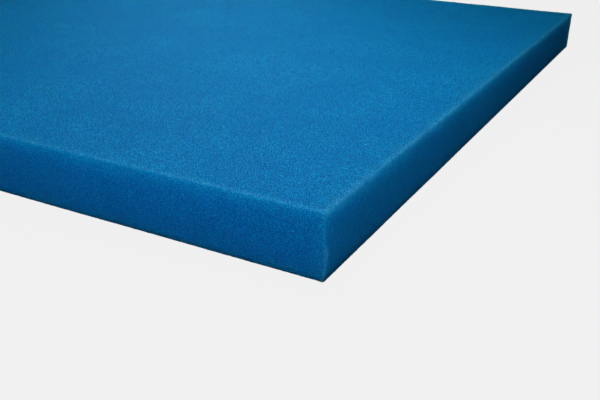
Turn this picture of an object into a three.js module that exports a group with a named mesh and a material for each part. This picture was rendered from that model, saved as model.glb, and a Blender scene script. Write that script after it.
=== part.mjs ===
// A square sheet of open-cell filter foam for a pond or aquarium filter.
// Millimetres, +Z up. The origin is the centre of the underside, and the sheet lies flat.
// It is one piece of foam, cut square on all six sides, with nothing inside it or fixed to it.

import * as THREE from 'three';

// ---- Driving dimensions ----
const SIDE = 500; // both plan sides of the sheet
const THICKNESS = 30;
const EDGE_ROUND = 1.2; // how far the long top and bottom edges are worn back
const CORNER_ROUND = 2; // radius of the four upright corners
const ROUND_STEPS = 4; // facets across each quarter-round

const FOAM_COLOUR = new THREE.Color( 0x14689f );
const FOAM_ROUGHNESS = 0.95;

// The plan outline: a square with its four corners rounded.
function sheetOutline() {

	const half = SIDE / 2;
	const straight = half - CORNER_ROUND; // where a straight side meets its corner arc
	const quarterTurn = Math.PI / 2;
	const outline = new THREE.Shape();
	outline.moveTo( straight, - half );
	outline.absarc( straight, - straight, CORNER_ROUND, - quarterTurn, 0 );
	outline.absarc( straight, straight, CORNER_ROUND, 0, quarterTurn );
	outline.absarc( - straight, straight, CORNER_ROUND, quarterTurn, 2 * quarterTurn );
	outline.absarc( - straight, - straight, CORNER_ROUND, 2 * quarterTurn, 3 * quarterTurn );
	outline.closePath();
	return outline;

}

// The foam block: the outline pushed up through the thickness, with a quarter-round
// bevel at the top and at the underside, so that both big faces stay flat.
function foamSheet() {

	const geometry = new THREE.ExtrudeGeometry( sheetOutline(), {
		depth: THICKNESS - 2 * EDGE_ROUND,
		curveSegments: ROUND_STEPS,
		bevelEnabled: true,
		bevelThickness: EDGE_ROUND,
		bevelSize: EDGE_ROUND,
		bevelOffset: - EDGE_ROUND,
		bevelSegments: ROUND_STEPS,
	} );
	const material = new THREE.MeshStandardMaterial( {
		color: FOAM_COLOUR,
		roughness: FOAM_ROUGHNESS,
		metalness: 0,
	} );
	const sheet = new THREE.Mesh( geometry, material );
	sheet.name = 'foam_sheet';
	sheet.position.z = EDGE_ROUND; // the lower bevel reaches down to the ground plane
	return sheet;

}

const filterSponge = new THREE.Group();
filterSponge.add( foamSheet() );

export default filterSponge;
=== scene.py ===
"""A square sheet of blue open-cell filter foam, lying on a pale floor in soft studio light.

Everything is in metres, +Z up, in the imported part's own frame: the sheet's underside is centred
on the origin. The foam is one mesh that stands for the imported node, built from loops round its
cut sides and a graded triangulation of its two big faces. Its points are pushed in and out a
fraction of a millimetre, by the waviness of the cut and by the foam's grain.
"""

import math

import bpy
import numpy as np
from mathutils import Matrix, Vector, noise
from mathutils.geometry import delaunay_2d_cdt


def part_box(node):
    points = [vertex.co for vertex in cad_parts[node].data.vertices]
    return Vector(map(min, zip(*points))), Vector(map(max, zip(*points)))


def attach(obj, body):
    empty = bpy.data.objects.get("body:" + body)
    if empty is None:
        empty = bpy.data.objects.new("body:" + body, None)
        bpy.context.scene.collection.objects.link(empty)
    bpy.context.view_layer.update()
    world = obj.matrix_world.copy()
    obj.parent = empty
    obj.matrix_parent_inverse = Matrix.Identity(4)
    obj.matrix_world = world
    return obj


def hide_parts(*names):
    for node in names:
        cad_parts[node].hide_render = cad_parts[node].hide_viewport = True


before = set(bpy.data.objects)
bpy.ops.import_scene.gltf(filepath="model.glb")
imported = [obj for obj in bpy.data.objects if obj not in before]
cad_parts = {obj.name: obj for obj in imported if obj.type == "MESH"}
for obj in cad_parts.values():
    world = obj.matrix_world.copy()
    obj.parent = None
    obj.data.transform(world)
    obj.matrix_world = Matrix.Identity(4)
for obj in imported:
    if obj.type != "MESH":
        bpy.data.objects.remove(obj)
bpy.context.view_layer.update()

# ---- The sheet, from the frame ----
NODE = "foam_sheet"
LOW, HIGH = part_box(NODE)
HALF_X = (HIGH.x - LOW.x) / 2
HALF_Y = (HIGH.y - LOW.y) / 2
THICKNESS = HIGH.z - LOW.z
MIDDLE = (LOW + HIGH) / 2

# ---- The sheet's edges ----
MM = 0.001
TOP_ROUND = 0.8 * MM  # the worn top edges
UNDER_ROUND = 0.15 * MM  # the sharp bottom edges
CORNER_ROUND = 0.85 * MM  # the four upright edges
QUARTER = math.pi / 2

# ---- The mesh's steps ----
FINE_STEP = 1.0 * MM  # round the cut sides
COARSE_TOP = 7.0 * MM  # the largest, in the middle of the top
COARSE_UNDERSIDE = 14.0 * MM
STEP_GROWTH = 1.22  # how fast the step grows from the edges inwards
STEP_JITTER = 0.25  # how far a point may lie off its ring, as a share of the step
ROUND_STEPS = 4
UNDER_STEPS = 2
KEEP_INSIDE = 1  # the triangulation's mode: only triangles inside the outer loop
SAME_POINT = 1e-7
SEED = 7

# ---- Relief: how far the surface is pushed in and out ----
GRAIN_DEPTH = 0.05 * MM
LUMP_DEPTH = 0.10 * MM
LUMP_PITCH = 6 * MM
WAVE_DEPTH = 0.30 * MM
WAVE_PITCH = 45 * MM
LUMP_SHIFT = Vector((3.1, 1.147, 5.301))  # where in the noise the lumps and the waves are taken
WAVE_SHIFT = Vector((8.7, 3.219, 14.877))
FLAT_LUMPS = 0.4  # how strong the lumps are away from the edges
UNDERSIDE_LOOSENESS = 0.3  # how strong lumps and waves are at the underside, next to the top
LOOSE_EDGE_REACH = 3 * MM

# ---- Painted highlight along the edges, where light catches the rounded edges and shines through them, and painted light along the foot: both make the foam paler. A pair is for the upper and lower part of the sheet ----
RIGHT_REACH = 2.1 * MM
RIGHT_DROP = 2.4 * MM
REST_HIGHLIGHT = 0.70  # how strong the painted highlight on the other top edges is, next to the right one
REST_REACH = 1.8 * MM
REST_DROP = 0.7 * MM
# the painted highlight down the upright edges, on their upper and lower parts
UPRIGHT_HIGHLIGHT = (0.4, 0.9)
UPRIGHT_REACH = (0.6 * MM, 1.1 * MM)
LOW_START = 0.55  # how high up the lower part begins, as a share of the thickness
LOW_BLEND = 0.12  # and how far down from there it has fully taken over
# painted light along the bottom of the front and back sides
FOOT_HEIGHT = 3 * MM
FOOT_DEPTH = 0.6 * MM

# ---- The near upright edge leans out over its lower part ----
BULGE = 1.6 * MM
BULGE_REACH = 3 * MM
BULGE_PEAK = 1 / 2.2  # the share of the thickness below which it narrows again

# ---- The foam's cells ----
CELL = 0.55 * MM  # pitch of the larger cells
SMALL_CELL = CELL / 2.1  # and of the cells between them
SMALL_SHARE = 0.6  # how much the small cells count for, next to the larger ones
CELL_RANGE = (0.38, 1.16)  # both cells' distances, added up, deep in a pore and on a strut
CLOSED_CELL = 0.58  # what a cell looks like where the saw has closed it
FRONT_SMOOTHNESS = 0.44  # how far the saw closed the cells of the front and back sides
SIDE_SMOOTHNESS = 0.60  # and of the left and right sides
PORE_DEPTH = 0.25 * MM
PORE_ROUGHNESS = 0.8
STRUT_ROUGHNESS = 0.6

# ---- The foam's colours, linear ----
PORE_BLUE = (0.000, 0.014, 0.25, 1)
BODY_BLUE = (0.000, 0.160, 0.55, 1)
STRUT_BLUE = (0.005, 0.465, 0.89, 1)
# the pale colour of the painted highlight along the edges
EDGE_HIGHLIGHT_BLUE = (0.050, 0.415, 0.97, 1)
SPECK_BLUE = (0.100, 0.850, 1.00, 1)

# ---- Patches and specks in the colour ----
MIDDLE_NOISE = 0.5  # the mean of Blender's noise
# the painted edge highlight comes in patches of this pitch
HIGHLIGHT_PATCH = 7 * MM
HIGHLIGHT_STRUTS = (0.4, 0.9)  # the strut values from which the painted highlight starts, and where it is full
PORE_HIGHLIGHT = 0.15  # how strong the painted highlight is in the pores, next to the struts
SMALL_PATCH = 4.5 * MM
BROAD_PATCH = 70 * MM
# how much paler the painted light makes the foot
FOOT_PAINTED_LIGHT = 1.6
SPECK_PITCH = 9 * MM
SPECK_RADIUS = (0.03, 0.05)  # from its core to its rim, as shares of the pitch
SIDE_SPECKS = 0.3  # how strong the specks are on the smoothed cut sides
SIDE_SPECKS_FROM = 0.4  # and from which smoothness on

# ---- How light scatters in the foam ----
SCATTER_REACH = 58 * MM
SCATTER_COLOUR = (0.3, 1.0, 0.6)  # how far red, green and blue go, next to that reach
FOAM_GLOSS = 0.06

# ---- The view ----
VIEW_YAW = math.radians(27.94)  # the camera's turn from +Y towards -X
VIEW_PITCH = math.radians(23.86)
VIEW_ROLL = math.radians(1.10)
VIEW_PLACE = Vector((3.693, -7.656, 4.923))  # from the near bottom corner, in thicknesses
SENSOR_WIDTH = 36  # this and the lens in millimetres, as Blender has them
LENS = 45.20
NEAREST = 0.01
FURTHEST = 100

# ---- The stage ----
FLOOR_REACH = 20 * HALF_X
FLOOR_DEPTH = 0.3 * MM
CARD_DEPTH = 0.45 * MM
TABLE_DEPTH = 0.5 * MM
FLOOR_COLOUR = (0.04, 0.04, 0.04, 1)
FLOOR_GLOW = 0.85
TABLE_COLOUR = (0.11, 0.115, 0.15, 1)
CARD_COLOUR = (0.47, 0.51, 0.65, 1)
BACKDROP_COLOUR = (0.85, 0.85, 0.85, 1)
STRIP_PLACE = Vector((0.09, -0.03, 0.35))
STRIP_TURN = VIEW_YAW + math.radians(13)
NEAR_PART = Vector((0.6 * HALF_X, -0.6 * HALF_Y, THICKNESS / 2))  # what the front lights face


# ---- The foam's mesh ----

def plan_loop(inset):
    """A loop of points round the plan, that far inside the cut sides, and the way out at each."""
    radius = CORNER_ROUND - inset
    far_x = HALF_X - CORNER_ROUND
    far_y = HALF_Y - CORNER_ROUND
    steps_x = round(2 * far_x / FINE_STEP)
    steps_y = round(2 * far_y / FINE_STEP)
    corners = [(far_x, -far_y), (far_x, far_y), (-far_x, far_y), (-far_x, -far_y)]
    points, outward = [], []
    for k, corner in enumerate(corners):
        angles = (k - 1) * QUARTER + QUARTER * np.arange(ROUND_STEPS) / ROUND_STEPS
        arc_out = np.column_stack((np.cos(angles), np.sin(angles)))
        side_out = np.array((math.cos(k * QUARTER), math.sin(k * QUARTER)))
        steps = (steps_y, steps_x)[k % 2]
        share = np.arange(steps)[:, None] / steps
        start = np.array(corner) + radius * side_out
        end = np.array(corners[(k + 1) % len(corners)]) + radius * side_out
        points += [np.array(corner) + radius * arc_out, start + (end - start) * share]
        outward += [arc_out, np.tile(side_out, (steps, 1))]
    return np.concatenate(points), np.concatenate(outward)


def rounded_edge(radius, steps):
    """(inset, drop, tilt) of points round a quarter circle, from the side to the big face."""
    turns = QUARTER * np.arange(steps + 1) / steps
    return [(radius * (1 - math.cos(a)), radius * (1 - math.sin(a)), a) for a in turns]


def upright_profile():
    """(inset, height, tilt) of each loop, from the underside up the cut side to the top."""
    under = rounded_edge(UNDER_ROUND, UNDER_STEPS)
    top = rounded_edge(TOP_ROUND, ROUND_STEPS)
    rows = round((THICKNESS - UNDER_ROUND - TOP_ROUND) / FINE_STEP)
    heights = np.linspace(UNDER_ROUND, THICKNESS - TOP_ROUND, rows + 1)[1:-1]
    side = [(0.0, z, 0.0) for z in heights]
    return (
        [(inset, drop, -tilt) for inset, drop, tilt in reversed(under)]
        + side
        + [(inset, THICKNESS - drop, tilt) for inset, drop, tilt in top]
    )


def band():
    """Points, outward directions and quads of the cut sides, and how many points a loop has."""
    places, ways = [], []
    profile = upright_profile()
    for inset, height, tilt in profile:
        points, outward = plan_loop(inset)
        z = np.full((len(points), 1), height)
        up = np.full((len(points), 1), math.sin(tilt))
        places.append(np.hstack((points, z)))
        ways.append(np.hstack((outward * math.cos(tilt), up)))
    loop = len(places[0])
    here = np.arange(loop)
    ahead = (here + 1) % loop
    quads = [
        np.column_stack((k * loop + here, k * loop + ahead, (k + 1) * loop + ahead,
                         (k + 1) * loop + here))
        for k in range(len(profile) - 1)
    ]
    return np.concatenate(places), np.concatenate(ways), np.concatenate(quads), loop


def face_points(inset, coarse, rng):
    """Points that fill a big face inside its loop, sparser towards the middle, and their steps."""
    step = FINE_STEP
    points, steps = [], []
    while True:
        inset += step
        step = min(step * STEP_GROWTH, coarse)
        x, y = HALF_X - inset, HALF_Y - inset
        if min(x, y) < step / 2:
            break
        corners = np.array([(x, -y), (x, y), (-x, y), (-x, -y)])
        for a, b in zip(corners, np.roll(corners, -1, axis=0)):
            count = max(1, round(np.linalg.norm(b - a) / step))
            share = np.arange(count)[:, None] / count
            ring = a + (b - a) * share
            points.append(ring + rng.uniform(-STEP_JITTER, STEP_JITTER, ring.shape) * step)
            steps.append(np.full(count, step))
    return np.concatenate(points), np.concatenate(steps)


def fill_face(loop, inset, coarse, rng):
    """New points inside a loop, their steps, and triangles over the loop and the new points."""
    inner, steps = face_points(inset, coarse, rng)
    flat = [Vector(p) for p in np.concatenate((loop, inner))]
    count = len(loop)
    edges = [(k, (k + 1) % count) for k in range(count)]
    _, _, triangles, origins, _, _ = delaunay_2d_cdt(flat, edges, [], KEEP_INSIDE, SAME_POINT, True)
    named = [[origins[v][0] for v in face] for face in triangles]
    return inner, steps, np.array(named)


def smooth_noise(points, pitch, offset):
    """Soft noise from -1 to 1 at each point, that repeats about once a pitch."""
    return np.array([noise.noise(Vector(p) / pitch + offset) for p in points])


def from_edges(points):
    """How far each surface point is from the two nearest cut sides, and down from the top."""
    to_x = HALF_X - np.abs(points[:, 0])
    to_y = HALF_Y - np.abs(points[:, 1])
    sides = np.clip(np.sort(np.column_stack((to_x, to_y)), axis=1), 0, None)
    return sides[:, 0], sides[:, 1], np.clip(THICKNESS - points[:, 2], 0, None)


def fading(distance, reach):
    """1 at no distance, falling smoothly to almost 0 at twice the reach."""
    return np.exp(-(distance / reach) ** 2)


def between(pair, share):
    """The first value of the pair, taken towards the second by that share."""
    return pair[0] + (pair[1] - pair[0]) * share


def lowness(points):
    """0 on the upper part of the sheet, rising to 1 a little over half way down."""
    return np.clip((LOW_START * THICKNESS - points[:, 2]) / (LOW_BLEND * THICKNESS), 0, 1)


def edge_highlight(points):
    """How strong the painted highlight is, from 0 to 1: along the top edges, most on the right, and
    corners.
    """
    side, next_side, drop = from_edges(points)
    to_right = np.clip(HALF_X - points[:, 0], 0, None)
    along_right = fading(to_right, RIGHT_REACH) * fading(drop, RIGHT_DROP)
    along_rest = REST_HIGHLIGHT * fading(side, REST_REACH) * fading(drop, REST_DROP)
    low = lowness(points)
    reach = between(UPRIGHT_REACH, low)
    upright = between(UPRIGHT_HIGHLIGHT, low) * fading(side, reach) * fading(next_side, reach)
    return np.max((along_right, along_rest, upright), axis=0)


def painted_foot_light(points):
    """Painted light: 1 along the bottom of the front and back sides, fading to 0 a few millimetres
    up.
    """
    return fading(points[:, 2], FOOT_HEIGHT) * fading(HALF_Y - np.abs(points[:, 1]), FOOT_DEPTH)


def cut_smoothness(ways):
    """How far the saw closed the cells: 0 on the big faces, most on the left and right sides."""
    along_x, along_y = np.abs(ways[:, 0]), np.abs(ways[:, 1])
    return np.clip(FRONT_SMOOTHNESS * along_y + SIDE_SMOOTHNESS * along_x, 0, 1)


def corner_bulge(points):
    """How far the lower part of the front right upright edge leans out to the right."""
    side, next_side, _ = from_edges(points)
    front_right = (points[:, 0] > 0) & (points[:, 1] < 0)
    near = fading(side, BULGE_REACH) * fading(next_side, BULGE_REACH)
    narrowing = np.clip(points[:, 2] / THICKNESS / BULGE_PEAK, 0, 1)
    return BULGE * near * lowness(points) * narrowing * front_right


def relief(points, steps, rng):
    """How far each point is pushed out of the surface, in metres."""
    side, next_side, drop = from_edges(points)
    next_edge = np.minimum(next_side, drop)
    near_edge = fading(side, LOOSE_EDGE_REACH) * fading(next_edge, LOOSE_EDGE_REACH)
    looseness = between((UNDERSIDE_LOOSENESS, 1), points[:, 2] / THICKNESS)
    fineness = np.clip(FINE_STEP / steps, 0, 1) ** 2
    grain = rng.normal(0, GRAIN_DEPTH, len(points)) * fineness * (1 + near_edge)
    lumps = smooth_noise(points, LUMP_PITCH, LUMP_SHIFT) * LUMP_DEPTH * (FLAT_LUMPS + near_edge)
    waves = smooth_noise(points, WAVE_PITCH, WAVE_SHIFT) * WAVE_DEPTH
    return grain + (lumps + waves) * looseness


def foam_mesh():
    """The whole sheet as one closed mesh, with its painted edge highlight, smoothness and painted
    foot light stored on it.
    """
    rng = np.random.default_rng(SEED)
    side_points, side_ways, quads, loop = band()
    top_loop = side_points[-loop:, :2]
    under_loop = side_points[:loop, :2]
    top_inner, top_steps, top_faces = fill_face(top_loop, TOP_ROUND, COARSE_TOP, rng)
    under_inner, under_steps, under_faces = fill_face(under_loop, UNDER_ROUND, COARSE_UNDERSIDE,
                                                      rng)

    count = len(side_points)
    top = np.hstack((top_inner, np.full((len(top_inner), 1), THICKNESS)))
    under = np.hstack((under_inner, np.zeros((len(under_inner), 1))))
    points = np.concatenate((side_points, top, under))
    ways = np.concatenate((side_ways, np.tile((0, 0, 1), (len(top), 1)),
                           np.tile((0, 0, -1), (len(under), 1))))
    steps = np.concatenate((np.full(count, FINE_STEP), top_steps, under_steps))

    def renumbered(faces, first_loop, first_inner):
        return np.where(faces < loop, faces + first_loop, faces - loop + first_inner)

    top_faces = renumbered(top_faces, count - loop, count)
    under_faces = renumbered(under_faces, 0, count + len(top))[:, ::-1]
    # Two stored values are painted light: a highlight along the edges and a paler foot.
    stored = {"edge_highlight": edge_highlight(points), "smoothness": cut_smoothness(ways), "painted_foot_light": painted_foot_light(points)}
    bulge = corner_bulge(points)
    points = points + ways * relief(points, steps, rng)[:, None]
    points[:, 0] += bulge
    points[:, 2] = np.clip(points[:, 2], 0, None)
    points += np.array((MIDDLE.x, MIDDLE.y, LOW.z))

    mesh = bpy.data.meshes.new("foam")
    faces = quads.tolist() + top_faces.tolist() + under_faces.tolist()
    mesh.from_pydata(points.tolist(), [], faces)
    mesh.validate()
    mesh.shade_smooth()
    for name, values in stored.items():
        attribute = mesh.attributes.new(name, "FLOAT", "POINT")
        attribute.data.foreach_set("value", values.astype(np.float32))
    return mesh


# ---- Materials ----

class Nodes:
    """A short way to add nodes to a material and join them."""

    # Where the Mix node keeps its share, its two numbers and its two colours, and the colour out.
    SHARE = 0
    NUMBERS = (2, 3)
    COLOURS = (6, 7)
    COLOUR_OUT = 2

    def __init__(self, material):
        material.use_nodes = True
        self.tree = material.node_tree
        self.tree.nodes.clear()

    def add(self, kind, inputs=None, **settings):
        node = self.tree.nodes.new(kind)
        for name, value in settings.items():
            setattr(node, name, value)
        for name, value in (inputs or {}).items():
            self.feed(node, name, value)
        return node

    def feed(self, node, name, value):
        if isinstance(value, bpy.types.NodeSocket):
            self.tree.links.new(value, node.inputs[name])
        else:
            node.inputs[name].default_value = value

    def math(self, operation, *values):
        return self.add("ShaderNodeMath", dict(enumerate(values)), operation=operation).outputs[0]

    def stored(self, name):
        """A value stored on the mesh."""
        return self.add("ShaderNodeAttribute", attribute_name=name).outputs["Fac"]

    def cell_distance(self, place, pitch):
        """How far the surface is from the middle of a cell, in cells of that pitch."""
        cells = self.add("ShaderNodeTexVoronoi", {"Vector": place, "Scale": 1 / pitch})
        return cells.outputs["Distance"]

    def ranged(self, value, low, high, to_low, to_high):
        """The value, taken from the range low to high into the range to_low to to_high."""
        node = self.add("ShaderNodeMapRange", {"Value": value, "From Min": low, "From Max": high,
                                               "To Min": to_low, "To Max": to_high})
        return node.outputs["Result"]

    def patches(self, place, pitch, detail, spread, low, high):
        """Soft patches of about that pitch, from the low to the high value."""
        value = self.add("ShaderNodeTexNoise", {"Vector": place, "Scale": 1 / pitch,
                                                "Detail": detail}).outputs["Fac"]
        return self.ranged(value, MIDDLE_NOISE - spread, MIDDLE_NOISE + spread, low, high)

    def ramp(self, value, colours):
        """A colour ramp through the colours, evenly spread from 0 to 1."""
        node = self.add("ShaderNodeValToRGB", {"Fac": value})
        elements = node.color_ramp.elements
        last = len(colours) - 1
        for k in range(1, last):
            elements.new(k / last)
        for k, colour in enumerate(colours):
            elements[k].color = colour
        return node.outputs["Color"]

    def mixed_number(self, share, a, b):
        """Number a, taken towards number b by that share."""
        inputs = dict(zip((self.SHARE, *self.NUMBERS), (share, a, b)))
        return self.add("ShaderNodeMix", inputs).outputs[0]

    def mixed_colour(self, share, a, b):
        """Colour a, taken towards colour b by that share."""
        inputs = dict(zip((self.SHARE, *self.COLOURS), (share, a, b)))
        return self.add("ShaderNodeMix", inputs, data_type="RGBA").outputs[self.COLOUR_OUT]


def foam_material():
    """Pale struts round dark pores about half a millimetre apart, with a painted highlight that
    makes them paler along the edges.
    """
    material = bpy.data.materials.new("open_cell_foam")
    nodes = Nodes(material)
    place = nodes.add("ShaderNodeTexCoord").outputs["Object"]
    struts = cell_struts(nodes, place)
    colour = nodes.ramp(struts, (PORE_BLUE, BODY_BLUE, STRUT_BLUE))
    # painted highlight along the edges
    colour = nodes.mixed_colour(highlight_share(nodes, place, struts), colour, EDGE_HIGHLIGHT_BLUE)
    colour = nodes.mixed_colour(speck_share(nodes, place), colour, SPECK_BLUE)
    colour = mottled(nodes, place, colour)
    bump = nodes.add("ShaderNodeBump", {"Height": struts, "Strength": 1.0, "Distance": PORE_DEPTH})
    shader = nodes.add("ShaderNodeBsdfPrincipled", {
        "Base Color": colour,
        "Roughness": nodes.ranged(struts, 0.0, 1.0, PORE_ROUGHNESS, STRUT_ROUGHNESS),
        "Specular IOR Level": FOAM_GLOSS,
        "Subsurface Weight": 1.0,
        "Subsurface Radius": SCATTER_COLOUR,
        "Subsurface Scale": SCATTER_REACH,
        "Normal": bump.outputs[0],
    })
    nodes.add("ShaderNodeOutputMaterial", {"Surface": shader.outputs[0]})
    return material


def cell_struts(nodes, place):
    """From 0 deep in a pore to 1 on the struts between the pores, and flatter on the cut sides."""
    large = nodes.cell_distance(place, CELL)
    small = nodes.cell_distance(place, SMALL_CELL)
    both = nodes.math("MULTIPLY_ADD", small, SMALL_SHARE, large)
    open_cells = nodes.ranged(both, *CELL_RANGE, 0.0, 1.0)
    return nodes.mixed_number(nodes.stored("smoothness"), open_cells, CLOSED_CELL)


def highlight_share(nodes, place, struts):
    """How strong the painted edge highlight is: in patches along the edges, and most on the struts.
    """
    in_patches = nodes.patches(place, HIGHLIGHT_PATCH, detail=3.0, spread=0.15, low=0.45, high=1.0)
    on_struts = nodes.ranged(struts, *HIGHLIGHT_STRUTS, PORE_HIGHLIGHT, 1.0)
    strength = nodes.math("MULTIPLY", in_patches, on_struts)
    return nodes.math("MULTIPLY", nodes.stored("edge_highlight"), strength)


def speck_share(nodes, place):
    """Sparse pale specks, each well under a millimetre across, fainter on the cut sides."""
    specks = nodes.ranged(nodes.cell_distance(place, SPECK_PITCH), *SPECK_RADIUS, 1.0, 0.0)
    strength = nodes.ranged(nodes.stored("smoothness"), 0.0, SIDE_SPECKS_FROM, 1.0, SIDE_SPECKS)
    return nodes.math("MULTIPLY", specks, strength)


def mottled(nodes, place, colour):
    """The colour with faint small and broad patches, and with painted light that makes it paler
    along the foot.
    """
    small = nodes.patches(place, SMALL_PATCH, detail=1.0, spread=0.2, low=0.97, high=1.03)
    broad = nodes.patches(place, BROAD_PATCH, detail=2.0, spread=0.2, low=0.98, high=1.02)
    # painted light along the foot
    along_foot = nodes.ranged(nodes.stored("painted_foot_light"), 0.0, 1.0, 1.0, FOOT_PAINTED_LIGHT)
    value = nodes.math("MULTIPLY", nodes.math("MULTIPLY", small, broad), along_foot)
    return nodes.add("ShaderNodeHueSaturation", {"Color": colour, "Value": value}).outputs[0]


def matte(name, colour, glow=0.0):
    """A plain matt colour that may also glow by itself, like the top of a light table."""
    material = bpy.data.materials.new(name)
    nodes = Nodes(material)
    shader = nodes.add("ShaderNodeBsdfPrincipled", {
        "Base Color": colour,
        "Roughness": 1.0,
        "Specular IOR Level": 0.0,
        "Emission Color": (1, 1, 1, 1),
        "Emission Strength": glow,
    })
    nodes.add("ShaderNodeOutputMaterial", {"Surface": shader.outputs[0]})
    return material


# ---- Stage ----

def add_object(name, data):
    thing = bpy.data.objects.new(name, data)
    bpy.context.scene.collection.objects.link(thing)
    return thing


def ground(name, reach, depth, material):
    """A level square that reaches that far from its middle, that far under the sheet."""
    z = LOW.z - depth
    corners = [(-reach, -reach, z), (reach, -reach, z), (reach, reach, z), (-reach, reach, z)]
    mesh = bpy.data.meshes.new(name)
    mesh.from_pydata(corners, [], [(0, 1, 2, 3)])
    mesh.materials.append(material)
    thing = add_object(name, mesh)
    return thing


def floor():
    """A pale floor that shows, and under it a grey table and three cards that light the foam.

    The pale floor glows evenly, so that it stays near white right up to the sheet and takes only
    a faint shadow. It lights nothing itself. The cut sides get their light off the table, which
    the camera doesn't see, and off the paler cards on it on all sides of the sheet but the right.
    """
    pale = ground("floor", FLOOR_REACH, FLOOR_DEPTH, matte("pale_floor", FLOOR_COLOUR, FLOOR_GLOW))
    pale.visible_diffuse = False
    pale.visible_glossy = False
    pale.visible_transmission = False
    pale.visible_shadow = False
    table = ground("table", FLOOR_REACH, TABLE_DEPTH, matte("grey_table", TABLE_COLOUR))
    table.visible_camera = False
    pale_card = matte("pale_card", CARD_COLOUR)
    for name, way_x, way_y in (("front_card", 0, -1), ("back_card", 0, 1), ("left_card", -1, 0)):
        card = ground(name, HALF_X, CARD_DEPTH, pale_card)
        card.location = (way_x * 2 * HALF_X, way_y * 2 * HALF_Y, 0)
        card.visible_camera = False


def soft_box(name, place, aim, width, length, power):
    """A rectangular soft light at a place, facing a point, with its power in watts."""
    lamp = bpy.data.lights.new(name, "AREA")
    lamp.shape = "RECTANGLE"
    lamp.size = width
    lamp.size_y = length
    lamp.energy = power
    thing = add_object(name, lamp)
    thing.location = place
    thing.rotation_euler = (place - aim).to_track_quat("Z", "Y").to_euler()
    return thing


def round_about(aim, azimuth, elevation, distance):
    """A place that far from a point. Azimuth 0 stands at -Y of it and 90 at +X."""
    across, up = math.radians(azimuth), math.radians(elevation)
    level = math.cos(up)
    way = Vector((math.sin(across) * level, -math.cos(across) * level, math.sin(up)))
    return aim + way * distance


def side_lights():
    """Two soft lights for the cut sides that the camera sees, and one for the two behind."""
    front_right = round_about(NEAR_PART, azimuth=40, elevation=25, distance=1.2)
    soft_box("front_right_fill", front_right, NEAR_PART, width=0.5, length=0.5, power=3.5)
    front = round_about(NEAR_PART, azimuth=12, elevation=13, distance=0.9)
    soft_box("front_fill", front, NEAR_PART, width=0.3, length=0.3, power=0.45)
    back = round_about(MIDDLE, azimuth=224, elevation=6, distance=1.3)
    back_fill = soft_box("back_fill", back, MIDDLE, width=0.8, length=0.16, power=2.4)
    back_fill.visible_glossy = False


def top_lights():
    """A long soft light close above the sheet, and a weak one that only makes its top shine."""
    back = round_about(MIDDLE, azimuth=215, elevation=10, distance=1.3)
    sheen = soft_box("sheen", back, MIDDLE, width=0.6, length=0.3, power=0.42)
    sheen.visible_diffuse = False
    under = STRIP_PLACE - Vector((0, 0, 1))
    strip = soft_box("strip", STRIP_PLACE, under, width=0.18, length=0.94, power=1.40)
    strip.rotation_euler = (0, 0, STRIP_TURN)


def backdrop():
    """The world shows as the same pale grey as the floor, and lights nothing."""
    world = bpy.data.worlds.new("studio")
    world.use_nodes = True
    background = world.node_tree.nodes["Background"]
    background.inputs["Color"].default_value = BACKDROP_COLOUR
    bpy.context.scene.world = world
    seen_by = world.cycles_visibility
    seen_by.diffuse = False
    seen_by.glossy = False
    seen_by.transmission = False
    seen_by.scatter = False


def camera():
    """Stands off the sheet's front right corner and looks across it to the back left."""
    data = bpy.data.cameras.new("camera")
    data.sensor_width = SENSOR_WIDTH
    data.lens = LENS
    data.clip_start = NEAREST
    data.clip_end = FURTHEST
    thing = add_object("camera", data)
    thing.location = Vector((HIGH.x, LOW.y, LOW.z)) + THICKNESS * VIEW_PLACE
    turn = Matrix.Rotation(VIEW_YAW, 4, "Z") @ Matrix.Rotation(QUARTER - VIEW_PITCH, 4, "X")
    thing.rotation_euler = (turn @ Matrix.Rotation(VIEW_ROLL, 4, "Z")).to_euler()
    bpy.context.scene.camera = thing


camera()
foam = add_object("filter_foam", foam_mesh())
foam.data.materials.append(foam_material())
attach(foam, "root")
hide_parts(NODE)
floor()
side_lights()
top_lights()
backdrop()
bpy.context.scene.view_settings.view_transform = "Standard"
